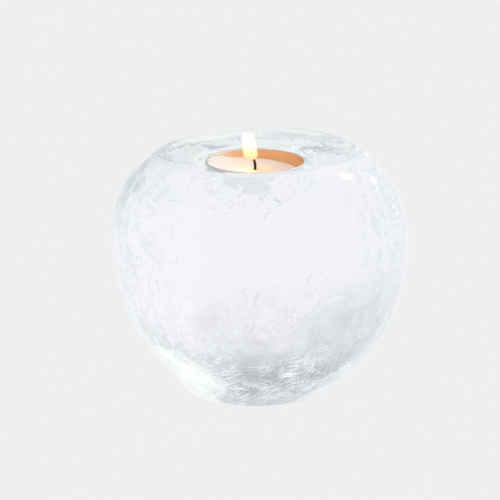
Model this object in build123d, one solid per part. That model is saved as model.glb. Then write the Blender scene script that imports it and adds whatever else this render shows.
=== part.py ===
from build123d import *
from math import asin, atan2, cos, degrees, radians, sin, sqrt, tan
import os

# Tealight holder: a heavy cast glass ball with a shallow dished top and a seat for one tealight, and the
# tealight itself. Millimetres, +Z up. The origin is the centre of the flat ground base the ball stands on.
# The glass is one solid casting. The tealight is an aluminium cup that holds the wax, the wick and the
# steel sustainer that keeps the wick upright. It stands loose in the seat and lifts straight out.

# ---- driving dimensions: the glass ball ----
ball_radius = 57.5  # at the widest level
widest_level = 61.5  # height of the widest level above the base
ball_height = 95.5  # top of the crest ring
lower_radius = 77.0  # section radius of the lower half
upper_radius = 40.0  # section radius of the upper half
base_edge_radius = 10.0  # rolls the lower half into the flat base
crest_radius = 6.0  # rolls the upper half over into the dish
dish_slope = 19.0  # degrees, the dish falls this much towards the seat
seat_radius = 22.0  # the straight-walled seat for the tealight
seat_floor_level = 75.2
seat_mouth_radius = 2.5  # softens the edge between dish and seat
seat_floor_radius = 2.0

# ---- driving dimensions: the tealight ----
cup_height = 16.0
cup_wall = 0.22
cup_foot_radius = 18.2  # outside, at the bottom
cup_mouth_radius = 18.65  # inside, at the top
cup_foot_fillet = 1.4
cup_rim_bead = 0.36  # section radius of the rolled rim
cup_boss_radius = 7.4  # raised ring stamped in the cup's floor, which centres the sustainer
cup_boss_height = 0.5
wax_depth_below_rim = 4.0
wax_gap = 0.05  # the wax shrinks off the cup's wall as it cools
part_gap = 0.03  # between the wax and the metal and cotton inside it
sustainer_radius = 6.5
sustainer_thickness = 0.25
sustainer_collar_radius = 1.25
sustainer_collar_height = 3.2
wick_radius = 0.58
wick_exposed = 4.4  # length of the wick above the wax
wick_straight = 1.2  # the part of that length that is still upright
wick_bend_radius = 9.5

# ---- worked out from the driving dimensions ----
seat_centre = Location((0, 0, seat_floor_level))
wax_level = cup_height - wax_depth_below_rim
cup_floor_top = cup_wall + cup_boss_height  # inside face of the raised boss
wick_start = cup_floor_top + sustainer_thickness


def polar(centre, radius, angle):
    """The point at this angle, in degrees, on a circle in the profile plane."""
    return (centre[0] + radius * cos(radians(angle)), centre[1] + radius * sin(radians(angle)))


def arc(centre, radius, start, end):
    """An arc of the profile from one angle to another, both in degrees."""
    middle = (start + end) / 2
    return ThreePointArc(*(polar(centre, radius, angle) for angle in (start, middle, end)))


def revolved(edges):
    """A solid of revolution about Z from profile edges drawn in (radius, height)."""
    face = make_face(edges)
    return revolve(Plane.XZ * face, Axis.Z)


def glass_body():
    """The ball: flat base, two tangent arcs up the side, a rolled crest, the dish and the seat."""
    lower_centre = (ball_radius - lower_radius, widest_level)
    upper_centre = (ball_radius - upper_radius, widest_level)

    # The base edge arc touches the base plane and the lower arc from inside.
    reach = lower_radius - base_edge_radius
    edge_drop = widest_level - base_edge_radius
    edge_centre = (lower_centre[0] + sqrt(reach**2 - edge_drop**2), base_edge_radius)
    edge_angle = degrees(atan2(-edge_drop, edge_centre[0] - lower_centre[0]))

    # The crest arc touches the upper arc from inside and tops out at the ball's height.
    crest_level = ball_height - crest_radius
    crest_angle = degrees(asin((crest_level - widest_level) / (upper_radius - crest_radius)))
    crest_centre = polar(upper_centre, upper_radius - crest_radius, crest_angle)

    # The dish runs straight down from the crest to the rounded mouth of the seat.
    dish_angle = 90 + dish_slope
    dish_top = polar(crest_centre, crest_radius, dish_angle)
    mouth_x = seat_radius + seat_mouth_radius
    mouth_start_x = mouth_x - seat_mouth_radius * sin(radians(dish_slope))
    mouth_start_z = dish_top[1] - (dish_top[0] - mouth_start_x) * tan(radians(dish_slope))
    mouth_centre = (mouth_x, mouth_start_z - seat_mouth_radius * cos(radians(dish_slope)))
    floor_centre = (seat_radius - seat_floor_radius, seat_floor_level + seat_floor_radius)

    return revolved(
        [
            Line((0, 0), (edge_centre[0], 0)),
            arc(edge_centre, base_edge_radius, -90, edge_angle),
            arc(lower_centre, lower_radius, edge_angle, 0),
            arc(upper_centre, upper_radius, 0, crest_angle),
            arc(crest_centre, crest_radius, crest_angle, dish_angle),
            Line(dish_top, polar(mouth_centre, seat_mouth_radius, dish_angle)),
            arc(mouth_centre, seat_mouth_radius, dish_angle, 180),
            Line((seat_radius, mouth_centre[1]), (seat_radius, floor_centre[1])),
            arc(floor_centre, seat_floor_radius, 0, -90),
            Line((floor_centre[0], seat_floor_level), (0, seat_floor_level)),
            Line((0, seat_floor_level), (0, 0)),
        ]
    )


def cup_volume(shrink, top):
    """The space inside the cup's outer face, less a wall or gap on its side and floor, up to a level."""
    draft = (cup_mouth_radius + cup_wall - cup_foot_radius) / cup_height
    foot = cup_foot_radius - shrink + draft * shrink
    mouth = cup_foot_radius - shrink + draft * top
    fillet_radius = cup_foot_fillet - shrink
    body = revolved(Polyline((0, shrink), (foot, shrink), (mouth, top), (0, top), close=True))
    foot_edge = body.edges().filter_by(GeomType.CIRCLE).sort_by(Axis.Z)[0]
    boss = Location((0, 0, shrink)) * Cylinder(
        cup_boss_radius + shrink, cup_boss_height, align=(Align.CENTER, Align.CENTER, Align.MIN)
    )
    return fillet(foot_edge, fillet_radius) - boss


def candle_cup():
    """Drawn aluminium cup with a rolled rim, and a raised boss stamped in its floor."""
    shell = cup_volume(0, cup_height - cup_rim_bead) - cup_volume(cup_wall, cup_height)
    bead_centre = Location((0, 0, cup_height - cup_rim_bead))
    bead = bead_centre * Torus(cup_mouth_radius + cup_rim_bead, cup_rim_bead)
    return seat_centre * (shell + bead)


def upright(radius, low, high):
    """A cylinder on the tealight's axis between two levels."""
    return Location((0, 0, low)) * Cylinder(
        radius, high - low, align=(Align.CENTER, Align.CENTER, Align.MIN)
    )


def sustainer_envelope(gap):
    """The disc and collar of the sustainer, without its bore, grown by a gap."""
    disc_top = wick_start + gap
    disc = upright(sustainer_radius + gap, cup_floor_top, disc_top)
    collar = upright(sustainer_collar_radius + gap, cup_floor_top, disc_top + sustainer_collar_height)
    return disc + collar


def wick_sustainer():
    """Steel disc with a crimped collar that holds the foot of the wick."""
    bore = upright(wick_radius + part_gap, wick_start, wick_start + sustainer_collar_height)
    return seat_centre * (sustainer_envelope(0) - bore)


def wax():
    """The wax left in the cup, with the pocket that the sustainer and the wick fill."""
    pocket = sustainer_envelope(part_gap) + upright(wick_radius + part_gap, cup_floor_top, cup_height)
    return seat_centre * (cup_volume(cup_wall + wax_gap, wax_level) - pocket)


def wick():
    """Cotton wick, upright in the wax and curling over where it has burnt."""
    bend_start = wax_level + wick_straight
    bend_angle = (wick_exposed - wick_straight) / wick_bend_radius
    tip = (-wick_bend_radius * (1 - cos(bend_angle)), 0, bend_start + wick_bend_radius * sin(bend_angle))
    route = Line((0, 0, wick_start), (0, 0, bend_start))
    route += TangentArc((0, 0, bend_start), tip, tangent=(0, 0, 1))
    section = Location((0, 0, wick_start)) * Circle(wick_radius)
    return seat_centre * sweep(section, path=route)


def main():
    os.makedirs("parts", exist_ok=True)
    for build in (glass_body, candle_cup, wax, wick_sustainer, wick):
        export_step(build(), os.path.join("parts", build.__name__ + ".step"))


main()
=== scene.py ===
import math

import bpy
import numpy as np
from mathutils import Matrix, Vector, noise
from mathutils.kdtree import KDTree


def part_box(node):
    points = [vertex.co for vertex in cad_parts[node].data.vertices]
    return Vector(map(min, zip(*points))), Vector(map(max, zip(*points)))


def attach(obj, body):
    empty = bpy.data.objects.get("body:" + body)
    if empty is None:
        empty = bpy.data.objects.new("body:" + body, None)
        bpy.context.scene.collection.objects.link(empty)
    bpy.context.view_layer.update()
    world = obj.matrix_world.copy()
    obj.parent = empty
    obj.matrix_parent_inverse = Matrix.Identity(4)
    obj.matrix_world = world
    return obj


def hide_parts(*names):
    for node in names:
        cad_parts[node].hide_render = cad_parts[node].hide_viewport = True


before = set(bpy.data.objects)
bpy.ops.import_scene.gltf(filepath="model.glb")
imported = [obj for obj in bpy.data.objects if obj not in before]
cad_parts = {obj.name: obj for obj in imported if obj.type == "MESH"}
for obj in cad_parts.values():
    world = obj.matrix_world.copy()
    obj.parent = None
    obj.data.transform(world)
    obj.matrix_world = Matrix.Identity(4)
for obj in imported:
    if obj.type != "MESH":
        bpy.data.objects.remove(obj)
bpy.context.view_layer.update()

# ---- the ball's section, in metres, as the CAD has it ----
MM = 0.001
BALL_RADIUS = 57.5 * MM
WIDEST_LEVEL = 61.5 * MM
BALL_HEIGHT = 95.5 * MM
LOWER_RADIUS = 77.0 * MM
UPPER_RADIUS = 40.0 * MM
BASE_EDGE_RADIUS = 10.0 * MM
CREST_RADIUS = 6.0 * MM
DISH_SLOPE = math.radians(19.0)
SEAT_RADIUS = 22.0 * MM
SEAT_FLOOR_LEVEL = 75.2 * MM
SEAT_MOUTH_RADIUS = 2.5 * MM
SEAT_FLOOR_RADIUS = 2.0 * MM

# ---- the ball's mesh: finer over the chips on the front than elsewhere ----
CHIPS_LOW = 33 * MM
CHIPS_HALF_WIDTH = 26  # degrees either side of the front
CHIPS_COLUMN = 0.38  # degrees
OTHER_COLUMNS = 286
FINEST = 0.38 * MM
FINE = 0.85 * MM
COARSE = 2.2 * MM

# ---- relief in the skin: how deep, in millimetres, and how wide ----
WAVE_DEPTH, WAVE_SIZE = 0.50, 45 * MM
RIPPLE_DEPTH, RIPPLE_SIZE = 0.22, 13 * MM
HAMMERED_DEPTH, HAMMERED_SIZE = 0.18, 5.4 * MM
FLAKE_DEPTH, FLAKE_SIZE = 0.05, 9 * MM
KNOCK_DEPTH, KNOCK_SIZE = 0.50, 9 * MM
SWIRL_DEPTH, SWIRL_SIZE = 0.45, 8 * MM
FLUTE_DEPTH, FLUTE_WIDTH = 0.22, 0.075  # this width is in radians about Z

# ---- the ball's lopsided outside ----
SKIN_SHIFT = 1.9 * MM  # the outside is this far off the seat's axis, towards +X, at the widest level
SKIN_LEAN = 0.030  # and this much more for each unit lower down
SAG_DEPTH = 1.6 * MM  # how far the -X side hangs out, low down
SAG_LEVEL = 25 * MM
RIM_TILT = 0.028  # how much the rim rises for each unit towards +X

# ---- cracks and folds under the skin ----
FRONT_FANS = 62
OTHER_FANS = 14
CRACK_DEPTH = 0.25 * MM  # under the skin
SPLINTER_THICKNESS = 0.1 * MM
WALK_STEP = 1.8 * MM
OUTSIDE_RADIUS = 30  # millimetres. Nearer the axis is the dish or the base

# ---- how long light is followed inside the glass ----
MAX_REFLECTIONS = 3
MAX_DEPTH = 10

# ---- the tealight: its levels are the frame's, and the rest is as the CAD has it ----
cup_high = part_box("candle_cup")[1]
wax_low, wax_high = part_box("wax")
wick_low, wick_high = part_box("wick")
CUP_DRAFT = (18.87 - 18.2) / 16  # how much wider the cup gets for each unit of height
CUP_WALL_MIDDLE = 18.76 * MM  # the middle of the wall, at the cup's mouth
WAX_FOOT = wax_low.z
WAX_LEVEL = wax_high.z
WAX_RADIUS = wax_high.x  # at its surface
WICK_RADIUS = 0.58 * MM

# ---- the flame, which the CAD doesn't have ----
FLAME_FOOT = wick_high.z - 0.6 * MM
FLAME_HEIGHT = 11.4 * MM
FLAME_GLOW = (1.0, 0.62, 0.36)


# ---------------------------------------------------------------- small helpers
def smooth(low, high, x):
    """0 below low, 1 above high, and a smooth step between them."""
    t = np.clip((x - low) / (high - low), 0, 1)
    return t * t * (3 - 2 * t)


def new_object(name, verts, faces, mat):
    mesh = bpy.data.meshes.new(name)
    mesh.from_pydata([tuple(v) for v in verts], [], faces)
    mesh.polygons.foreach_set("use_smooth", [True] * len(mesh.polygons))
    mesh.materials.append(mat)
    mesh.update()
    obj = bpy.data.objects.new(name, mesh)
    bpy.context.scene.collection.objects.link(obj)
    return obj


def lathe_faces(rows, columns):
    """Quads between rings of vertices, with a fan at each end, where one vertex stands for a whole ring."""
    faces = []
    first = 1
    last = 1 + (rows - 2) * columns
    for c in range(columns):
        d = (c + 1) % columns
        faces.append((0, first + d, first + c))
        for r in range(rows - 3):
            low = first + r * columns
            faces.append((low + c, low + d, low + columns + d, low + columns + c))
        top = last - columns
        faces.append((top + c, top + d, last))
    return faces


def lathe(name, section, angles, mat, shape):
    """A closed solid of revolution about Z. Its section of (radius, height) starts and ends on the axis, and
    shape moves its points."""
    columns = len(angles)
    section = np.array(section)
    ring = section[1:-1]
    points = np.empty((len(ring), columns, 3))
    points[..., 0] = ring[:, None, 0] * np.cos(angles)
    points[..., 1] = ring[:, None, 0] * np.sin(angles)
    points[..., 2] = ring[:, None, 1]
    low = (0, 0, section[0, 1])
    high = (0, 0, section[-1, 1])
    verts = [low, *shape(points).reshape(-1, 3), high]
    return new_object(name, verts, lathe_faces(len(section), columns), mat)


class Nodes:
    """A material's or world's node tree, with short calls to add and join nodes."""

    def __init__(self, owner):
        owner.use_nodes = True
        self.tree = owner.node_tree
        self.tree.nodes.clear()

    def add(self, kind, inputs=None, **settings):
        node = self.tree.nodes.new(kind)
        for name, value in settings.items():
            setattr(node, name, value)
        for name, value in (inputs or {}).items():
            self.set(node.inputs[name], value)
        return node

    def set(self, socket, value):
        if isinstance(value, bpy.types.NodeSocket):
            self.tree.links.new(value, socket)
        else:
            socket.default_value = value

    def math(self, operation, a, b=0.0):
        return self.add("ShaderNodeMath", {0: a, 1: b}, operation=operation).outputs[0]

    def ramp(self, factor, stops):
        node = self.add("ShaderNodeValToRGB", {"Fac": factor})
        ramp = node.color_ramp
        while len(ramp.elements) < len(stops):
            ramp.elements.new(1.0)
        for element, (place, colour) in zip(ramp.elements, stops):
            element.position = place
            element.color = (*colour, 1)
        return node.outputs["Color"]

    def noise(self, where, scale, detail):
        inputs = {"Vector": where, "Scale": scale, "Detail": detail}
        return self.add("ShaderNodeTexNoise", inputs).outputs["Fac"]

    def mapped(self, value, from_low, from_high, to_low=0.0, to_high=1.0, kind="SMOOTHSTEP"):
        inputs = {"Value": value, "From Min": from_low, "From Max": from_high}
        inputs.update({"To Min": to_low, "To Max": to_high})
        return self.add("ShaderNodeMapRange", inputs, interpolation_type=kind).outputs["Result"]


def material(name):
    """A new material and its empty node tree."""
    mat = bpy.data.materials.new(name)
    return mat, Nodes(mat)


# ---------------------------------------------------------------- the glass ball
def polar(centre, radius, angle):
    return (centre[0] + radius * math.cos(angle), centre[1] + radius * math.sin(angle))


def arc(centre, radius, start, end, step):
    """Points along an arc, without its first one."""
    count = max(2, round(abs(end - start) * radius / step))
    return [polar(centre, radius, start + (end - start) * i / count) for i in range(1, count + 1)]


def line(start, end, step):
    """Points along a line, without its first one."""
    count = max(1, round(math.dist(start, end) / step))
    return [
        (start[0] + (end[0] - start[0]) * i / count, start[1] + (end[1] - start[1]) * i / count)
        for i in range(1, count + 1)
    ]


def ball_section():
    """The ball's outline in (radius, height), from the middle of the base to the seat's middle."""
    lower = (BALL_RADIUS - LOWER_RADIUS, WIDEST_LEVEL)
    upper = (BALL_RADIUS - UPPER_RADIUS, WIDEST_LEVEL)
    reach = LOWER_RADIUS - BASE_EDGE_RADIUS
    drop = WIDEST_LEVEL - BASE_EDGE_RADIUS
    edge = (lower[0] + math.sqrt(reach**2 - drop**2), BASE_EDGE_RADIUS)
    edge_angle = math.atan2(-drop, edge[0] - lower[0])
    crest_angle = math.asin((BALL_HEIGHT - CREST_RADIUS - WIDEST_LEVEL) / (UPPER_RADIUS - CREST_RADIUS))
    crest = polar(upper, UPPER_RADIUS - CREST_RADIUS, crest_angle)
    dish_angle = math.pi / 2 + DISH_SLOPE
    dish_top = polar(crest, CREST_RADIUS, dish_angle)
    mouth_x = SEAT_RADIUS + SEAT_MOUTH_RADIUS
    mouth_start_x = mouth_x - SEAT_MOUTH_RADIUS * math.sin(DISH_SLOPE)
    mouth_start_z = dish_top[1] - (dish_top[0] - mouth_start_x) * math.tan(DISH_SLOPE)
    mouth = (mouth_x, mouth_start_z - SEAT_MOUTH_RADIUS * math.cos(DISH_SLOPE))
    corner = (SEAT_RADIUS - SEAT_FLOOR_RADIUS, SEAT_FLOOR_LEVEL + SEAT_FLOOR_RADIUS)
    chip_angle = math.asin((CHIPS_LOW - WIDEST_LEVEL) / LOWER_RADIUS)
    return [
        (0, 0),
        *line((0, 0), (edge[0] - COARSE, 0), 2 * COARSE),
        *line((edge[0] - COARSE, 0), (edge[0], 0), FINE),
        *arc(edge, BASE_EDGE_RADIUS, -math.pi / 2, edge_angle, FINE),
        *arc(lower, LOWER_RADIUS, edge_angle, chip_angle, FINE),
        *arc(lower, LOWER_RADIUS, chip_angle, 0, FINEST),
        *arc(upper, UPPER_RADIUS, 0, crest_angle, FINE),
        *arc(crest, CREST_RADIUS, crest_angle, dish_angle, FINE),
        *line(dish_top, (mouth_start_x, mouth_start_z), FINE),
        *arc(mouth, SEAT_MOUTH_RADIUS, dish_angle, math.pi, 0.6 * MM),
        *line((SEAT_RADIUS, mouth[1]), (SEAT_RADIUS, corner[1]), 1.5 * MM),
        *arc(corner, SEAT_FLOOR_RADIUS, 0, -math.pi / 2, 0.8 * MM),
        *line((corner[0], SEAT_FLOOR_LEVEL), (0, SEAT_FLOOR_LEVEL), 2 * COARSE),
    ]


def ball_columns():
    """Angles about Z, closer together over the chips on the front, at -Y, than elsewhere."""
    front = np.arange(-CHIPS_HALF_WIDTH, CHIPS_HALF_WIDTH, CHIPS_COLUMN)
    rest = np.linspace(CHIPS_HALF_WIDTH, 360 - CHIPS_HALF_WIDTH, OTHER_COLUMNS, endpoint=False)
    return np.radians(np.concatenate([front, rest]) - 90)


def surface_normals(points):
    """Outward unit normals of a grid of rings, from its neighbours along and around."""
    around = np.roll(points, -1, axis=1) - np.roll(points, 1, axis=1)
    along = np.gradient(points, axis=0)
    normals = np.cross(around, along)
    return normals / np.maximum(np.linalg.norm(normals, axis=2, keepdims=True), 1e-12)


def noise_field(points, size, seed, octaves=1):
    """Perlin noise over the points, -1 to 1, with features of about this size."""
    flat = points.reshape(-1, 3) / size + np.array(seed)
    if octaves > 1:
        values = [noise.fractal(Vector(p), 1.0, 2.0, octaves) for p in flat]
    else:
        values = [noise.noise(Vector(p)) for p in flat]
    return np.array(values).reshape(points.shape[:-1])


def cells(points, size, seed):
    """Splits space into random cells of about this size. For each point, in cell sizes: how far it is from
    its cell's middle, the offset from that middle, and the cell's own vector."""
    rng = np.random.default_rng(seed)
    flat = points.reshape(-1, 3) / size
    home = np.floor(flat).astype(int)
    low = home.min(0) - 1
    grid = tuple(home.max(0) - low + 2)
    middles = rng.random((*grid, 3))
    own = rng.uniform(-1, 1, (*grid, 3))
    near = np.full(len(flat), 9.0)
    offset = np.zeros_like(flat)
    vector = np.zeros_like(flat)
    for step in np.ndindex(3, 3, 3):
        cell = home + np.array(step) - 1
        place = tuple((cell - low).T)
        away = flat - (cell + middles[place])
        distance = np.linalg.norm(away, axis=1)
        closer = distance < near
        near = np.where(closer, distance, near)
        offset = np.where(closer[:, None], away, offset)
        vector = np.where(closer[:, None], own[place], vector)
    return near.reshape(points.shape[:-1]), offset.reshape(points.shape), vector.reshape(points.shape)


def facets(points, size, seed):
    """Flat chips that each lean their own way and meet at sharp edges, about -1 to 1."""
    _, offset, vector = cells(points, size, seed)
    return (offset * vector).sum(axis=-1)


def dents(points, size, seed):
    """Round hollows that meet at ridges, 0 at the ridges to -1 in the hollows."""
    near, _, _ = cells(points, size, seed)
    return np.minimum(near / 0.7, 1) ** 2 - 1


# Oval chips on the front: turn from the front in degrees, height, length and width, lean in degrees, and
# depth. The rest is in millimetres.
CHIPS = [
    (-18, 37, 6.0, 4.5, 60, 0.24),
    (-14.5, 42.5, 6.0, 4.5, 55, 0.26),
    (-11, 38, 6.5, 4.5, 40, 0.24),
    (-5, 40.5, 6.0, 4.5, 50, 0.24),
    (-7.5, 51, 10.0, 7.5, 60, 0.32),
    (4.5, 53.5, 12.5, 7.0, 60, 0.34),
    (16.5, 50.5, 13.5, 7.0, 50, 0.32),
    (9, 41.5, 12.5, 6.0, 28, 0.26),
    (22, 60, 6.0, 4.0, 45, 0.20),
]

# Bands of folds in the skin: turns from the front in degrees, heights, how many, lengths, angle and its
# spread in radians, spread of the bend in radians per metre, and largest half width. The rest is in
# millimetres.
FOLDS = [
    ((-30, 32), (84, 94), 26, (2, 6), (0.2, 0.5), 160, 0.13),
    ((-20, 12), (83, 91), 16, (2.5, 6), (0.3, 0.6), 300, 0.22),
    ((-35, 30), (62, 86), 26, (2, 8), (0.9, 0.9), 160, 0.05),
    ((-90, -30), (20, 92), 300, (1.5, 4.5), (1.4, 0.8), 450, 0.17),
    ((-64, -52), (18, 36), 10, (4, 9), (1.85, 0.1), 20, 0.22),
    ((50, 90), (20, 88), 110, (3, 11), (1.5, 0.14), 40, 0.14),
    ((50, 80), (44, 58), 26, (2, 6), (1.5, 0.5), 200, 0.22),
    ((16, 75), (10, 44), 80, (3, 9), (2.4, 0.6), 160, 0.16),
    ((-22, 18), (22, 36), 16, (6, 14), (0.62, 0.12), 30, 0.12),
    ((90, 180), (12, 88), 34, (1.5, 6), (1.2, 1.0), 300, 0.10),
    ((-180, -90), (12, 88), 34, (1.5, 6), (1.2, 1.0), 300, 0.10),
]

# Bands of fine cracks above the fans, painted bright as glints, written the same way.
GLINTS = [
    ((-40, 40), (26, 90), 24, (1.5, 6), (1.5, 0.9), 120, 0.035),
    ((-90, -34), (18, 92), 110, (2, 6), (1.4, 0.8), 320, 0.08),
    ((40, 90), (14, 90), 60, (3, 9), (1.6, 0.12), 40, 0.06),
]


def turn_from_front(points):
    """Degrees about Z from the front, at -Y, positive towards +X."""
    return np.degrees(np.arctan2(points[..., 0], -points[..., 1]))


def chips(points):
    """Oval flakes knocked out of the surface, each a shallow hollow with a raised lip, in millimetres."""
    turn = turn_from_front(points) + 0.8 * noise_field(points, 4 * MM, (2.2, 6.1, 4.0))
    height = points[..., 2] / MM + 0.8 * noise_field(points, 4 * MM, (8.1, 0.3, 1.9))
    total = np.zeros(points.shape[:-1])
    for middle, level, length, width, lean, depth in CHIPS:
        across = np.radians(turn - middle) * BALL_RADIUS / MM
        up = height - level
        cosine, sine = math.cos(math.radians(lean)), math.sin(math.radians(lean))
        along_share = (across * cosine + up * sine) / (length / 2)
        across_share = (up * cosine - across * sine) / (width / 2)
        distance = np.hypot(along_share, across_share)
        hollow = -depth * (1 - smooth(0.84, 1.02, distance))
        lip = 0.4 * depth * np.exp(-(((distance - 1.10) / 0.09) ** 2))
        total += hollow + lip
    return total


def uneven_skin(points):
    """Pushes the ball's smooth skin in and out, as hand-worked glass is, and leans it to one side."""
    radius = np.hypot(points[..., 0], points[..., 1])
    height = points[..., 2]
    turn = turn_from_front(points)
    normals = surface_normals(points)

    # The seat and the base stay true, so that the tealight and the ball both stand level.
    outside = smooth(SEAT_RADIUS + 1 * MM, SEAT_RADIUS + 9 * MM, radius)
    above_base = smooth(0.2 * MM, 6 * MM, height)
    free = outside * above_base

    # How hammered each part is: least in the middle of the front, and less behind and at the foot.
    in_front = np.exp(-((turn / 34) ** 2))
    behind = smooth(52, 90, np.abs(turn))
    rough = 1 - 0.85 * in_front * smooth(44 * MM, 56 * MM, height) * (1 - smooth(82 * MM, 88 * MM, height))
    rough *= 1 - 0.7 * behind
    rough *= 1 - 0.6 * smooth(8 * MM, 22 * MM, 30 * MM - height)

    # The rim is knocked about, except on the right shoulder, and the dish is fluted.
    rim = smooth(84 * MM, 90 * MM, height)
    calm = 1 - 0.9 * np.exp(-(((turn - 57) / 15) ** 2))
    dished = (1 - smooth(38 * MM, 43 * MM, radius)) * smooth(82 * MM, 86 * MM, height)
    around = np.stack([np.sin(np.radians(turn)), np.cos(np.radians(turn)), 0 * turn], axis=-1)
    knocks = KNOCK_DEPTH * dents(points, KNOCK_SIZE, 33) * rim * (1 - 0.4 * behind) * calm
    flutes = FLUTE_DEPTH * noise_field(around, FLUTE_WIDTH, (2.5, 7.7, 3.1)) * dished

    # Flattened swirls stand low on the right.
    swirls = np.exp(-(((turn - 48) / 22) ** 2)) * (1 - smooth(48 * MM, 62 * MM, height))
    swirled = SWIRL_DEPTH * dents(points * (1, 1, 1.6), SWIRL_SIZE, 14) * swirls

    broad = WAVE_DEPTH * noise_field(points, WAVE_SIZE, (3.1, 8.2, 5.7))
    ripples = RIPPLE_DEPTH * noise_field(points, RIPPLE_SIZE, (7.3, 1.9, 2.4), 2)
    hammered = HAMMERED_DEPTH * dents(points, HAMMERED_SIZE, 21) * rough * (1 - 0.7 * rim)
    flakes = FLAKE_DEPTH * facets(points, FLAKE_SIZE, 5) * rough
    push = free * MM * (flutes + broad + ripples + hammered + flakes + knocks + swirled + chips(points))
    points = points + normals * push[..., None]

    # The ball leans to +X, sags on the -X side low down, and its rim is higher on the +X side.
    sideways = SKIN_SHIFT + SKIN_LEAN * (WIDEST_LEVEL - height)
    low_down = np.exp(-(((height - SAG_LEVEL) / (10 * MM)) ** 2))
    sag = SAG_DEPTH * low_down * smooth(0, 40 * MM, -points[..., 0])
    points[..., 0] += (sideways - sag) * outside * smooth(0, 12 * MM, height)
    points[..., 2] += RIM_TILT * points[..., 0] * outside * smooth(80 * MM, 92 * MM, height)
    return points


def glass_material():
    mat, n = material("cast_glass")
    path = n.add("ShaderNodeLightPath")
    shader = n.add(
        "ShaderNodeBsdfPrincipled",
        {
            "Base Color": (1, 1, 1, 1),
            "Roughness": 0.0,
            "IOR": 1.5,
            "Transmission Weight": 1.0,
        },
    )
    # The renderer ends long paths early, which would leave the rim and the sides dark. So light that has
    # bounced about inside the glass this often is let straight out.
    bounced = n.math("GREATER_THAN", path.outputs["Glossy Depth"], MAX_REFLECTIONS - 0.5)
    long_path = n.math("GREATER_THAN", path.outputs["Ray Depth"], MAX_DEPTH - 0.5)
    trapped = n.math("MAXIMUM", bounced, long_path)
    both = n.add("ShaderNodeMixShader", {"Fac": trapped})
    n.tree.links.new(shader.outputs["BSDF"], both.inputs[1])
    n.tree.links.new(n.add("ShaderNodeBsdfTransparent").outputs[0], both.inputs[2])
    absorb = n.add("ShaderNodeVolumeAbsorption", {"Color": (0.88, 0.95, 0.95, 1), "Density": 2.5})
    out = n.add("ShaderNodeOutputMaterial", {"Surface": both.outputs[0]})
    n.tree.links.new(absorb.outputs["Volume"], out.inputs["Volume"])
    return mat


def glass_ball():
    ball = lathe("glass_ball", ball_section(), ball_columns(), glass_material(), uneven_skin)
    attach(ball, "holder")
    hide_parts("glass_body")
    return ball


class Skin:
    """The ball's finished surface, to lay fine lines under."""

    def __init__(self, obj):
        count = len(obj.data.vertices)
        self.points = np.empty((count, 3))
        self.normals = np.empty((count, 3))
        obj.data.vertices.foreach_get("co", self.points.ravel())
        obj.data.vertices.foreach_get("normal", self.normals.ravel())
        self.tree = KDTree(count)
        for i, point in enumerate(self.points):
            self.tree.insert(point, i)
        self.tree.balance()

    def at(self, point):
        """The nearest point on the surface, roughly, and the normal there."""
        _, near, _ = self.tree.find(point)
        normal = Vector(self.normals[near])
        return point + normal * (Vector(self.points[near]) - point).dot(normal), normal


def walk(skin, start, angle, length, bend):
    """Points and normals along the skin from a start. Angle 0 is level, and bend turns it on the way."""
    point, normal = skin.at(start)
    steps = max(3, round(length / WALK_STEP))
    route = [(point, normal)]
    for _ in range(steps):
        level = normal.cross((0, 0, 1)).normalized()
        heading = level * math.cos(angle) - level.cross(normal) * math.sin(angle)
        point, fresh = skin.at(point + heading * length / steps)
        normal = (normal * 0.4 + fresh * 0.6).normalized()
        route.append((point, normal))
        angle += bend * length / steps
    return route


def splinter(route, width, verts, faces):
    """A hair-thin closed splinter along a route under the skin, of this half width, tapered at both ends."""
    first = len(verts)
    last = len(route) - 1
    for k, (point, normal) in enumerate(route):
        heading = route[min(k + 1, last)][0] - route[max(k - 1, 0)][0]
        taper = math.sin(math.pi * (0.06 + 0.88 * k / last))
        side = normal.cross(heading).normalized() * width * taper
        middle = point - normal * CRACK_DEPTH
        verts.extend([middle + side, middle - side, middle - normal * SPLINTER_THICKNESS])
    faces.append((first, first + 1, first + 2))
    for k in range(last):
        for j in range(3):
            a = first + 3 * k + j
            b = first + 3 * k + (j + 1) % 3
            faces.append((a, a + 3, b + 3, b))
    end = first + 3 * last
    faces.append((end + 2, end + 1, end))


def painted_splinter_material(name, low, high, strength):
    """The bright or dull face of a hairline crack, in place of the light it catches from all round. It glows
    with a painted tone: painted glints where bright, painted shade where dull.
    """
    mat, n = material(name)
    where = n.add("ShaderNodeTexCoord").outputs["Object"]
    cloud = n.noise(where, 120.0, 2.0)
    # The tone is painted light: painted glint or painted shade.
    tone = n.ramp(cloud, [(0.35, low), (0.6, high)])
    shader = n.add(
        "ShaderNodeBsdfPrincipled",
        {
            "Base Color": (0.04, 0.04, 0.04, 1),
            "Roughness": 0.25,
            "Emission Color": tone,
            "Emission Strength": strength,
        },
    )
    n.add("ShaderNodeOutputMaterial", {"Surface": shader.outputs["BSDF"]})
    return mat


def fan(skin, rng, start, angle, verts, faces):
    """A fan of near-parallel splinters, with a few across them."""
    gap = rng.uniform(0.8, 1.7) * MM
    count = rng.integers(4, 11)
    spread = rng.normal(0, 0.05)
    point, normal = skin.at(start)
    level = normal.cross((0, 0, 1)).normalized()
    across = level * math.cos(angle + math.pi / 2) - level.cross(normal) * math.sin(angle + math.pi / 2)
    length = rng.uniform(5, 12) * MM
    for i in range(count):
        place = point + across * gap * (i - count / 2) + Vector(rng.normal(0, 0.4 * MM, 3))
        heading = angle + spread * i + rng.normal(0, 0.05)
        reach = length * rng.uniform(0.5, 1.2)
        route = walk(skin, place, heading, reach, rng.normal(0, 8))
        splinter(route, rng.uniform(0.04, 0.11) * MM, verts, faces)
    for _ in range(rng.integers(0, 4)):
        place = point + Vector(rng.normal(0, 2 * MM, 3))
        route = walk(skin, place, angle + rng.uniform(1.0, 1.9), length * 0.6, rng.normal(0, 20))
        splinter(route, rng.uniform(0.04, 0.08) * MM, verts, faces)


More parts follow.
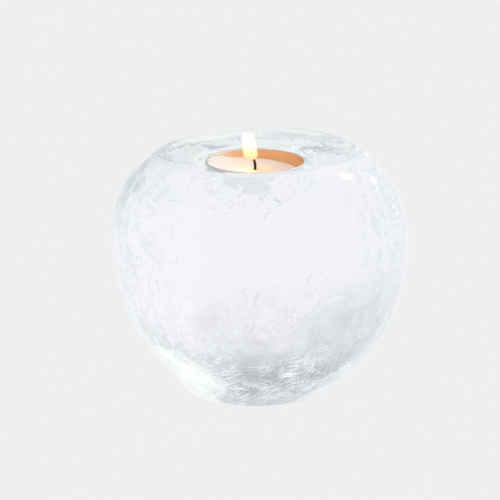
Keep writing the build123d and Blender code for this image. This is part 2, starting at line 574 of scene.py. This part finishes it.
def fractures(skin):
    """The fine cracks under the skin, glowing as painted glints: fans low on the ball, glints higher up, and
    round the chips.
    """
    rng = np.random.default_rng(40)
    radius = np.hypot(skin.points[:, 0], skin.points[:, 1]) / MM
    height = skin.points[:, 2]
    low = np.flatnonzero((height > 8 * MM) & (height < 27 * MM) & (radius > OUTSIDE_RADIUS))
    front = low[np.abs(turn_from_front(skin.points[low]) - 6) < 44]
    verts = []
    faces = []
    for i in range(FRONT_FANS + OTHER_FANS):
        start = Vector(skin.points[rng.choice(front if i < FRONT_FANS else low)])
        angle = rng.normal(0.62, 0.30) if rng.random() < 0.55 else rng.uniform(0, math.pi)
        fan(skin, rng, start, angle, verts, faces)
    scatter(skin, rng, GLINTS, verts, faces)
    # Each chip's edge has a painted highlight along one side.
    for chip in CHIPS:
        start = rng.uniform(-2.2, -1.2)
        splinter(outline(skin, chip, 1.14, start, start + 2.0), 0.08 * MM, verts, faces)
    # The cracks glow in light tones: painted glints.
    mat = painted_splinter_material("fracture_painted_glint", (0.70, 0.76, 0.78), (0.96, 0.98, 1.0), 1.1)
    piece = new_object("fractures", verts, faces, mat)
    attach(piece, "holder")


def outline(skin, chip, scale, start, end):
    """The part of a chip's uneven edge between two angles round it, at this scale."""
    middle, level, length, width, lean, _ = chip
    route = []
    cosine, sine = math.cos(math.radians(lean)), math.sin(math.radians(lean))
    for angle in np.linspace(start, end, 12):
        swell = 0.5 * scale * (1 + 0.25 * noise.noise((2 * math.cos(angle), 2 * math.sin(angle), middle)))
        along = swell * length * math.cos(angle)
        across = swell * width * math.sin(angle)
        turn = math.radians(middle) + (along * cosine - across * sine) * MM / BALL_RADIUS
        height = (level + along * sine + across * cosine) * MM
        point = Vector((BALL_RADIUS * math.sin(turn), -BALL_RADIUS * math.cos(turn), height))
        route.append(skin.at(point))
    return route


def scatter(skin, rng, bands, verts, faces):
    """Splinters spread at random over bands of the skin, such as FOLDS and GLINTS."""
    turn = turn_from_front(skin.points)
    height = skin.points[:, 2] / MM
    radius = np.hypot(skin.points[:, 0], skin.points[:, 1]) / MM
    for (left, right), (low, high), count, (short, long), (angle, spread), bend, width in bands:
        inside = (turn > left) & (turn < right) & (height > low) & (height < high)
        places = np.flatnonzero(inside & (radius > OUTSIDE_RADIUS))
        for _ in range(count):
            start = Vector(skin.points[rng.choice(places)])
            heading = rng.normal(angle, spread)
            route = walk(skin, start, heading, rng.uniform(short, long) * MM, rng.normal(0, bend))
            splinter(route, rng.uniform(0.6, 1.0) * width * MM, verts, faces)


def folds(skin):
    """Folds in the skin, drawn as grey lines of painted shade: level under the opening, curled or upright on
    the sides, and any way behind.
    """
    rng = np.random.default_rng(12)
    verts = []
    faces = []
    # Each chip's edge gets two lines of painted shade.
    # Each edge is where it starts round the chip and how far it goes, in radians, and its half width.
    for chip in CHIPS:
        long_edge = (rng.uniform(0.8, 1.4), 2.6, 0.22)
        short_edge = (rng.uniform(-1.6, -0.8), 1.2, 0.16)
        for start, span, width in (long_edge, short_edge):
            splinter(outline(skin, chip, 1.02, start, start + span), width * MM, verts, faces)
    scatter(skin, rng, FOLDS, verts, faces)
    # The folds glow in grey tones, darker than the glass round them: painted shade.
    mat = painted_splinter_material("fold_painted_shade", (0.60, 0.63, 0.65), (0.76, 0.78, 0.80), 1.0)
    piece = new_object("folds", verts, faces, mat)
    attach(piece, "holder")


# ---------------------------------------------------------------- the tealight
def metal_material(name, colour, roughness, brushed):
    """Thin drawn or stamped sheet metal: fine rings, faint dulling and tiny dents."""
    mat, n = material(name)
    where = n.add("ShaderNodeTexCoord").outputs["Object"]
    rings = n.add("ShaderNodeMapping", {"Vector": where})
    rings.inputs["Scale"].default_value = (60, 60, 2600)
    scratches = n.noise(rings.outputs[0], 1.0, 3.0)
    clouds = n.noise(where, 140.0, 2.0)
    dull = n.mapped(clouds, 0.3, 0.7, roughness * 0.8, roughness * 1.3)
    relief = n.math("ADD", n.math("MULTIPLY", scratches, brushed), n.math("MULTIPLY", clouds, 0.5))
    bump = n.add("ShaderNodeBump", {"Height": relief, "Strength": 0.5, "Distance": 0.0001})
    shader = n.add(
        "ShaderNodeBsdfPrincipled",
        {"Base Color": colour, "Roughness": dull, "Metallic": 1.0, "Normal": bump.outputs["Normal"]},
    )
    n.add("ShaderNodeOutputMaterial", {"Surface": shader.outputs["BSDF"]})
    return mat, n, shader


def cup_material():
    """Bright foil. Inside above the wax, where hot wax films it, it is painted amber, from cream on the -X
    side, where the flame leans, to dark orange on the +X side: painted flame light and painted shade.
    Elsewhere it is painted darker on the -X side, as painted shade, and lighter lower down.
    """
    mat, n, shader = metal_material("drawn_foil", (0.86, 0.86, 0.87, 1), 0.22, 0.6)
    where = n.add("ShaderNodeTexCoord").outputs["Object"]
    axes = n.add("ShaderNodeSeparateXYZ", {"Vector": where})
    flat = n.add("ShaderNodeCombineXYZ", {"X": axes.outputs["X"], "Y": axes.outputs["Y"]})
    radius = n.add("ShaderNodeVectorMath", {0: flat.outputs[0]}, operation="LENGTH").outputs["Value"]
    drafted = n.math("MULTIPLY", axes.outputs["Z"], CUP_DRAFT)
    wall = n.math("ADD", drafted, CUP_WALL_MIDDLE - CUP_DRAFT * cup_high.z)
    inside = n.mapped(n.math("SUBTRACT", radius, wall), -0.04 * MM, 0.04 * MM, 1.0, 0.0)
    film = n.mapped(axes.outputs["Z"], WAX_FOOT + 2 * MM, WAX_FOOT + 4 * MM)
    share = n.math("MULTIPLY", inside, film)
    across = n.mapped(axes.outputs["X"], -WAX_RADIUS, WAX_RADIUS, 0.0, 1.0, "LINEAR")
    # Painted flame light and painted shade: cream on the -X side, where the flame leans, to dark orange on
    # the +X side. The less metallic film of wax under it is real.
    amber = n.ramp(across, [(0.16, (1.0, 0.95, 0.86)), (0.27, (0.97, 0.66, 0.42)), (0.6, (0.80, 0.42, 0.20))])
    # Painted shade: the foil is darker on the -X side. It is also lighter lower down.
    brighter = n.mapped(axes.outputs["Z"], cup_high.z - 7 * MM, cup_high.z - 3 * MM, 0.4, 0.0)
    foil = n.ramp(n.math("ADD", across, brighter), [(0.2, (0.64, 0.65, 0.67)), (0.6, (0.92, 0.92, 0.93))])
    mix = n.add("ShaderNodeMix", {"Factor": share}, data_type="RGBA")
    n.set(mix.inputs["A"], foil)
    n.set(mix.inputs["B"], amber)
    n.set(shader.inputs["Metallic"], n.math("SUBTRACT", 1.0, n.math("MULTIPLY", share, 0.45)))
    n.set(shader.inputs["Base Color"], mix.outputs["Result"])
    return mat


def wax_material():
    """Paraffin: translucent, and glossy where it is molten round the wick. It is painted peach towards the
    wick and glows orange there: painted flame light.
    """
    mat, n = material("paraffin")
    where = n.add("ShaderNodeTexCoord").outputs["Object"]
    middle = n.add("ShaderNodeVectorMath", {0: where, 1: (2.5 * MM, 0, WAX_LEVEL)}, operation="DISTANCE")
    reach = middle.outputs["Value"]
    veins = n.noise(where, 90.0, 3.0)
    far = n.math("ADD", reach, n.math("MULTIPLY", veins, 4 * MM))
    share = n.math("DIVIDE", far, 22 * MM)
    # Painted flame light: peach towards the wick, paler away from it.
    colour = n.ramp(share, [(0.1, (0.97, 0.78, 0.58)), (0.5, (0.99, 0.93, 0.86)), (0.9, (1.0, 0.99, 0.96))])
    # Painted flame light: an orange glow round the wick.
    glow = n.ramp(share, [(0.1, (1.0, 0.42, 0.12)), (0.6, (0.30, 0.12, 0.04)), (1.0, (0.06, 0.04, 0.02))])
    gloss = n.mapped(far, 12 * MM, 21 * MM, 0.06, 0.28)
    bump = n.add("ShaderNodeBump", {"Height": veins, "Strength": 0.25, "Distance": 0.0003})
    shader = n.add(
        "ShaderNodeBsdfPrincipled",
        {
            "Base Color": colour,
            "Roughness": gloss,
            "IOR": 1.44,
            "Subsurface Weight": 0.3,
            "Subsurface Radius": (1.0, 0.5, 0.3),
            "Subsurface Scale": 0.0015,
            "Emission Color": glow,
            "Emission Strength": 0.25,
            "Normal": bump.outputs["Normal"],
        },
    )
    n.add("ShaderNodeOutputMaterial", {"Surface": shader.outputs["BSDF"]})
    return mat


def wax_pool():
    """The wax: it follows the cup and its floor, and climbs a little up the wall and the wick."""
    foot = WAX_FOOT
    gap = 0.05 * MM
    climb = 0.45 * MM  # up the wall
    boss_level = foot + 0.5 * MM
    boss_radius = 7.65 * MM
    disc = 6.53 * MM
    disc_level = foot + 0.73 * MM
    collar = 1.28 * MM
    collar_level = foot + 3.93 * MM
    hole = WICK_RADIUS + gap
    section = [
        (disc, boss_level),
        (boss_radius, boss_level),
        (boss_radius, foot),
        (WAX_RADIUS - 2.0 * MM, foot),
        (WAX_RADIUS - 1.1 * MM, foot + 0.25 * MM),
        (WAX_RADIUS - 0.5 * MM, foot + 1.1 * MM),
    ]
    section += line(section[-1], (WAX_RADIUS, WAX_LEVEL + climb), 1.5 * MM)
    section.append((WAX_RADIUS - 0.03 * MM, WAX_LEVEL + climb))
    spread = WAX_RADIUS - hole
    rings = 40
    for i in range(1, rings):
        t = i / rings
        near_wall = math.exp(-t * spread / (1.6 * MM))
        near_wick = math.exp(-(1 - t) * spread / (0.5 * MM))
        sunk = 0.15 * MM * math.sin(math.pi * t)
        level = WAX_LEVEL + climb * near_wall + 0.5 * MM * near_wick - sunk
        section.append((WAX_RADIUS - t * spread, level))
    section += [(hole, WAX_LEVEL + climb), (hole, collar_level), (collar, collar_level)]
    section += [(collar, disc_level), (disc, disc_level)]
    pool = ring_lathe("wax_pool", section, 96, wax_material(), burnt_down)
    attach(pool, "tealight")
    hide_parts("wax")


def burnt_down(x, y, z):
    """The wax's top has burnt lower on the +X side, and a film of it climbs the wall on the -X side."""
    slope = 0.085
    film_height = 1.6 * MM
    share = smooth(WAX_LEVEL - 6 * MM, WAX_LEVEL - 0.5 * MM, z)
    film = smooth(6 * MM, WAX_RADIUS, -x) * smooth(0.5 * WAX_RADIUS, WAX_RADIUS, math.hypot(x, y))
    return z + share * (film_height * film - slope * x)


def ring_lathe(name, section, columns, mat, level):
    """A closed ring-shaped solid about Z from a closed loop of (radius, height). level(x, y, height) gives
    each point's own height."""
    rows = len(section)
    verts = []
    for radius, height in section:
        for c in range(columns):
            angle = c * 2 * math.pi / columns
            x, y = radius * math.cos(angle), radius * math.sin(angle)
            verts.append((x, y, level(x, y, height)))
    faces = []
    for r in range(rows):
        q = (r + 1) % rows
        for c in range(columns):
            d = (c + 1) % columns
            faces.append((r * columns + c, r * columns + d, q * columns + d, q * columns + c))
    return new_object(name, verts, faces, mat)


def tube(name, path, radii, columns, mat, ridge=None):
    """A closed tube along a path, with a radius for each point. ridge(turn, share along) scales it."""
    path = [Vector(p) for p in path]
    verts = []
    count = len(path)
    side = Vector((0, 1, 0))
    for i, point in enumerate(path):
        ahead = path[min(i + 1, count - 1)] - path[max(i - 1, 0)]
        ahead.normalize()
        across = side.cross(ahead).normalized()
        other = ahead.cross(across)
        for c in range(columns):
            angle = c * 2 * math.pi / columns
            radius = radii[i] * (ridge(angle, i / (count - 1)) if ridge else 1)
            verts.append(point + across * radius * math.cos(angle) + other * radius * math.sin(angle))
    faces = [tuple(range(columns))[::-1]]
    for i in range(count - 1):
        for c in range(columns):
            d = (c + 1) % columns
            faces.append((i * columns + c, i * columns + d, (i + 1) * columns + d, (i + 1) * columns + c))
    top = (count - 1) * columns
    faces.append(tuple(top + c for c in range(columns)))
    return new_object(name, verts, faces, mat)


def wick_material():
    """Cotton below, charred black above the wax, with an ember's dull glow at the very tip."""
    mat, n = material("charred_cotton")
    where = n.add("ShaderNodeTexCoord").outputs["Object"]
    height = n.add("ShaderNodeSeparateXYZ", {"Vector": where}).outputs["Z"]
    fibres = n.noise(where, 2500.0, 3.0)
    share = n.math("DIVIDE", n.math("SUBTRACT", height, WAX_LEVEL - 1 * MM), 7 * MM)
    ragged = n.math("ADD", share, n.math("MULTIPLY", n.math("SUBTRACT", fibres, 0.5), 0.2))
    cotton = (0.80, 0.70, 0.55)
    scorched = (0.10, 0.05, 0.025)
    charred = [(0.3, (0.020, 0.014, 0.012)), (1.0, (0.03, 0.02, 0.018))]
    colour = n.ramp(ragged, [(0.0, cotton), (0.14, scorched), *charred])
    ember = n.ramp(ragged, [(0.88, (0, 0, 0)), (1.0, (1.0, 0.20, 0.02))])
    bump = n.add("ShaderNodeBump", {"Height": fibres, "Strength": 0.7, "Distance": 0.0001})
    shader = n.add(
        "ShaderNodeBsdfPrincipled",
        {
            "Base Color": colour,
            "Roughness": 0.9,
            "Emission Color": ember,
            "Emission Strength": 0.6,
            "Normal": bump.outputs["Normal"],
        },
    )
    n.add("ShaderNodeOutputMaterial", {"Surface": shader.outputs["BSDF"]})
    return mat


def wick_braid():
    """Braided cotton, standing straight in the wax and curling over where it has burnt."""
    start = wick_low.z
    bend_start = WAX_LEVEL + 1.2 * MM
    bend_radius = 9.5 * MM
    points = line((0, start), (0, bend_start), 0.3 * MM)
    turn = (wick_high.z - bend_start) / bend_radius
    bend_steps = 15
    for i in range(1, bend_steps + 1):
        angle = turn * i / bend_steps
        points.append((-bend_radius * (1 - math.cos(angle)), bend_start + bend_radius * math.sin(angle)))
    path = [(0, 0, start)] + [(x, 0, z) for x, z in points]
    radii = []
    for i in range(len(path)):
        t = i / (len(path) - 1)
        radii.append(WICK_RADIUS * (0.93 - 0.10 * smooth(0.93, 1.0, t) + 0.05 * noise.noise((t * 14, 0, 0))))

    def braid(angle, t):
        twist = t * 9 * math.pi
        return 0.92 + 0.08 * abs(math.sin(2 * angle + twist)) + 0.04 * math.sin(3 * angle - twist)

    wick = tube("wick_braid", path, radii, 20, wick_material(), braid)
    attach(wick, "tealight")
    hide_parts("wick")


def flame_material(name, strength, solid_stops, colour_stops):
    """Glowing gas: its colour and how solid it is change from the wick up."""
    mat, n = material(name)
    where = n.add("ShaderNodeTexCoord").outputs["Object"]
    height = n.add("ShaderNodeSeparateXYZ", {"Vector": where}).outputs["Z"]
    share = n.math("DIVIDE", n.math("SUBTRACT", height, FLAME_FOOT), FLAME_HEIGHT)
    colour = n.ramp(share, colour_stops)
    solid = n.ramp(share, solid_stops)
    shader = n.add(
        "ShaderNodeBsdfPrincipled",
        {
            "Base Color": (0, 0, 0, 1),
            "Roughness": 1.0,
            "Specular IOR Level": 0.0,
            "Emission Color": colour,
            "Emission Strength": strength,
            "Alpha": solid,
        },
    )
    n.add("ShaderNodeOutputMaterial", {"Surface": shader.outputs["BSDF"]})
    return mat


def flame_shell(name, foot, height, width, mat):
    """One shell of the flame: full at its foot, near upright at its sides and blunt on top, leaning to -X."""
    path = []
    radii = []
    steps = 36
    for i in range(steps + 1):
        t = i / steps
        lean = -1.5 * MM - 1.4 * MM * t
        path.append((lean, 0, foot + height * t))
        foot_round = math.sqrt(1 - (1 - min(t / 0.22, 1)) ** 2)
        top_round = (1 - (max(t - 0.86, 0) / 0.14) ** 3) ** (1 / 3)
        radii.append(width * (0.02 + 0.98 * foot_round * top_round * (1 - 0.08 * t)))
    shell = tube(name, path, radii, 28, mat)
    for vertex in shell.data.vertices:
        share = (vertex.co.z - foot) / height
        vertex.co.z -= 0.24 * (vertex.co.x + 4.0 * MM) * smooth(0.5, 1.0, share)
    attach(shell, "tealight")
    shell.visible_shadow = False


def grey(value):
    return (value, value, value)


def flame():
    """A bright core in a thinner edge, and the light that they give. None of it is solid."""
    outer = flame_material(
        "flame_edge",
        1.05,
        [(0.0, grey(0.0)), (0.2, grey(0.35)), (0.8, grey(0.5)), (1.0, grey(0.3))],
        [(0.0, (0.9, 0.5, 0.3)), (0.3, (1.0, 0.85, 0.62)), (1.0, (1.0, 0.9, 0.75))],
    )
    orange = (1.0, 0.55, 0.25)
    amber = (1.0, 0.72, 0.25)
    yellow = (1.0, 0.95, 0.6)
    white = (1.0, 1.0, 0.95)
    core = flame_material(
        "flame_core",
        1.6,
        [(0.0, grey(0.0)), (0.12, grey(0.6)), (0.35, grey(1.0)), (1.0, grey(1.0))],
        [(0.0, orange), (0.25, amber), (0.5, yellow), (0.75, white)],
    )
    flame_shell("flame_edge", FLAME_FOOT - 0.6 * MM, FLAME_HEIGHT + 0.6 * MM, 2.95 * MM, outer)
    flame_shell("flame_core", FLAME_FOOT, FLAME_HEIGHT - 0.4 * MM, 2.5 * MM, core)
    light = bpy.data.lights.new("flame_light", "POINT")
    light.energy = 0.0026
    light.color = FLAME_GLOW
    light.shadow_soft_size = 0.0022
    lamp = bpy.data.objects.new("flame_light", light)
    lamp.location = (-2.4 * MM, 0, FLAME_FOOT + 0.5 * FLAME_HEIGHT)
    bpy.context.scene.collection.objects.link(lamp)
    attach(lamp, "tealight")


def dress(node, mat):
    """Gives a CAD node its material."""
    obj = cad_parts[node]
    obj.data.materials.clear()
    obj.data.materials.append(mat)


# ---------------------------------------------------------------- the studio
BACKDROP = (0.863, 0.863, 0.863)

# The room behind the object, from low to high: (elevation in degrees, colour). The rest of the room has the
# lowest colour. Only the camera doesn't see the room.
SWEEP = [
    (-45, (0.935, 0.930, 0.955)),
    (-28, (0.925, 0.917, 0.955)),
    (-12, (0.925, 0.917, 0.955)),
    (-4, (0.905, 0.897, 0.935)),
    (2, (0.878, 0.873, 0.906)),
    (8, (0.812, 0.812, 0.838)),
    (14, (0.720, 0.726, 0.745)),
    (20, (0.640, 0.650, 0.665)),
]

# Large soft cards in the room: middle elevation and azimuth, half height and half width, soft edge, all in
# degrees, and colour. Azimuth 0 is behind the object and 90 is to its right.
CARDS = [
    ((12, 180), (12, 80), 8, (0.80, 0.815, 0.83)),
    ((50, -88), (28, 36), 12, (0.60, 0.64, 0.65)),
    ((50, 95), (28, 36), 12, (0.62, 0.66, 0.67)),
    ((45, -135), (30, 42), 14, (0.82, 0.845, 0.85)),
    ((45, 135), (30, 40), 14, (1.00, 1.00, 1.00)),
    ((53, -10), (33, 25), 10, (0.41, 0.445, 0.455)),
    ((-7, 43), (22, 25), 7, (0.945, 0.932, 0.968)),
    ((10, -30), (9, 15), 9, (0.69, 0.74, 0.75)),
    ((19, 35), (4, 10), 4, (0.66, 0.70, 0.72)),
    ((85, 0), (23, 180), 8, (0.55, 0.58, 0.60)),
    ((46, 43), (26, 23), 7, (1.06, 1.06, 1.07)),
    ((-35, 180), (30, 85), 14, (0.925, 0.935, 0.94)),
]

# Small lamps that are only seen reflected, as highlights on the glass, written the same way.
LAMPS = [
    ((39.5, 54), (3.4, 3.4), 1.8, (7.0, 7.0, 7.0)),
    ((17, 43), (1.7, 1.6), 1.0, (4.0, 4.0, 4.0)),
    ((13, 49), (0.9, 1.1), 0.7, (4.0, 4.0, 4.0)),
]

# The green and the grey of the patches on the room's two sides, as stops of a noise.
PATCHES = [(0.40, (0.78, 0.85, 0.84)), (0.60, (0.82, 0.83, 0.855))]


def card_share(n, elevation, azimuth, card):
    """How much of a card stands in each direction: 1 on the card, fading to 0 over its soft edge."""
    (high, side), (half_height, half_width), edge, _ = card
    off_level = n.math("ABSOLUTE", n.math("SUBTRACT", elevation, high))
    turn = n.math("WRAP", n.math("SUBTRACT", azimuth, side), 180.0)
    turn.node.inputs[2].default_value = -180.0
    off_side = n.math("ABSOLUTE", turn)
    rows = n.mapped(off_level, half_height - edge, half_height + edge, 1.0, 0.0)
    columns = n.mapped(off_side, half_width - edge, half_width + edge, 1.0, 0.0)
    return n.math("MULTIPLY", rows, columns)


def laid_over(n, under, over, share):
    """One colour laid over another."""
    mix = n.add("ShaderNodeMix", {"Factor": share}, data_type="RGBA")
    n.set(mix.inputs["A"], under)
    n.set(mix.inputs["B"], over)
    return mix.outputs["Result"]


def room_colour(n, ray):
    """The room's colour in each direction, and the direction's elevation and azimuth in degrees."""
    axes = n.add("ShaderNodeSeparateXYZ", {"Vector": ray})
    elevation = n.math("MULTIPLY", n.math("ARCSINE", axes.outputs["Z"]), math.degrees(1))
    around = n.math("ARCTAN2", axes.outputs["X"], axes.outputs["Y"])
    azimuth = n.math("MULTIPLY", around, math.degrees(1))
    lowest, highest = SWEEP[0][0], SWEEP[-1][0]
    aside = n.math("ABSOLUTE", azimuth)
    rise = n.mapped(elevation, lowest, highest, 0.0, 1.0, "LINEAR")
    level = n.math("MULTIPLY", rise, n.mapped(aside, 60.0, 100.0, 1.0, 0.0))
    colour = n.ramp(level, [((stop - lowest) / (highest - lowest), tone) for stop, tone in SWEEP])
    for card in CARDS:
        colour = laid_over(n, colour, (*card[3], 1), card_share(n, elevation, azimuth, card))

    # The upper part is mottled, as a room full of things would be.
    mottle = n.noise(ray, 11.0, 1.0)
    shade = n.mapped(mottle, 0.36, 0.64, 0.945, 1.03)
    upper = n.mapped(elevation, -6.0, 6.0)
    mix = n.add("ShaderNodeMix", {"Factor": upper}, data_type="RGBA", blend_type="MULTIPLY")
    n.set(mix.inputs["A"], colour)
    n.set(mix.inputs["B"], n.add("ShaderNodeCombineColor", {0: shade, 1: shade, 2: shade}).outputs[0])
    colour = mix.outputs["Result"]

    # Small uneven grey and green patches stand to the two sides.
    blobs = n.noise(ray, 14.0, 2.0)
    hues = n.noise(ray, 2.5, 0.0)
    beside = n.math("MULTIPLY", n.mapped(aside, 20.0, 48.0), n.mapped(aside, 110.0, 130.0, 1.0, 0.0))
    share = n.math("MULTIPLY", n.mapped(blobs, 0.49, 0.64), beside)
    colour = laid_over(n, colour, n.ramp(hues, PATCHES), share)
    return colour, elevation, azimuth


def studio():
    """A plain pale backdrop for the camera, and a pale room of soft cards for everything else to see."""
    world = bpy.data.worlds.new("studio")
    bpy.context.scene.world = world
    n = Nodes(world)
    ray = n.add("ShaderNodeTexCoord").outputs["Generated"]
    colour, elevation, azimuth = room_colour(n, ray)
    light_path = n.add("ShaderNodeLightPath")
    reflected = n.math("SUBTRACT", 1.0, light_path.outputs["Is Transmission Ray"])
    for lamp in LAMPS:
        share = n.math("MULTIPLY", card_share(n, elevation, azimuth, lamp), reflected)
        colour = laid_over(n, colour, (*lamp[3], 1), share)
    seen = light_path.outputs["Is Camera Ray"]
    room = n.add("ShaderNodeBackground", {"Color": colour})
    backdrop = n.add("ShaderNodeBackground", {"Color": (*BACKDROP, 1)})
    both = n.add("ShaderNodeMixShader", {"Fac": seen})
    n.tree.links.new(room.outputs[0], both.inputs[1])
    n.tree.links.new(backdrop.outputs[0], both.inputs[2])
    n.add("ShaderNodeOutputWorld", {"Surface": both.outputs[0]})


def table():
    """A plain pale table top, the same tone as the backdrop. Only the camera sees it."""
    mat, n = material("pale_table")
    glow = n.add("ShaderNodeEmission", {"Color": (*BACKDROP, 1)})
    n.add("ShaderNodeOutputMaterial", {"Surface": glow.outputs[0]})
    reach = 3
    corners = [(-reach, -reach, 0), (reach, -reach, 0), (reach, reach, 0), (-reach, reach, 0)]
    floor = new_object("floor", corners, [(0, 1, 2, 3)], mat)
    floor.visible_diffuse = False
    floor.visible_glossy = False
    floor.visible_transmission = False
    floor.visible_shadow = False


def camera():
    """A long lens about a metre away, looking down a little."""
    elevation = math.radians(16)
    distance = 1.0
    target = Vector((-0.0020, 0, 0.0554))
    data = bpy.data.cameras.new("camera")
    data.lens = 185.6
    data.sensor_width = 36
    data.clip_start = 0.01
    cam = bpy.data.objects.new("camera", data)
    cam.location = target + distance * Vector((0, -math.cos(elevation), math.sin(elevation)))
    cam.rotation_euler = (math.pi / 2 - elevation, 0, 0)
    bpy.context.scene.collection.objects.link(cam)
    bpy.context.scene.camera = cam


ball_skin = Skin(glass_ball())
fractures(ball_skin)
folds(ball_skin)
dress("candle_cup", cup_material())
dress("wick_sustainer", metal_material("tinned_steel", (0.55, 0.55, 0.56, 1), 0.35, 0.3)[0])
wax_pool()
wick_braid()
flame()
studio()
table()
camera()
scene = bpy.context.scene
scene.view_settings.view_transform = "Standard"
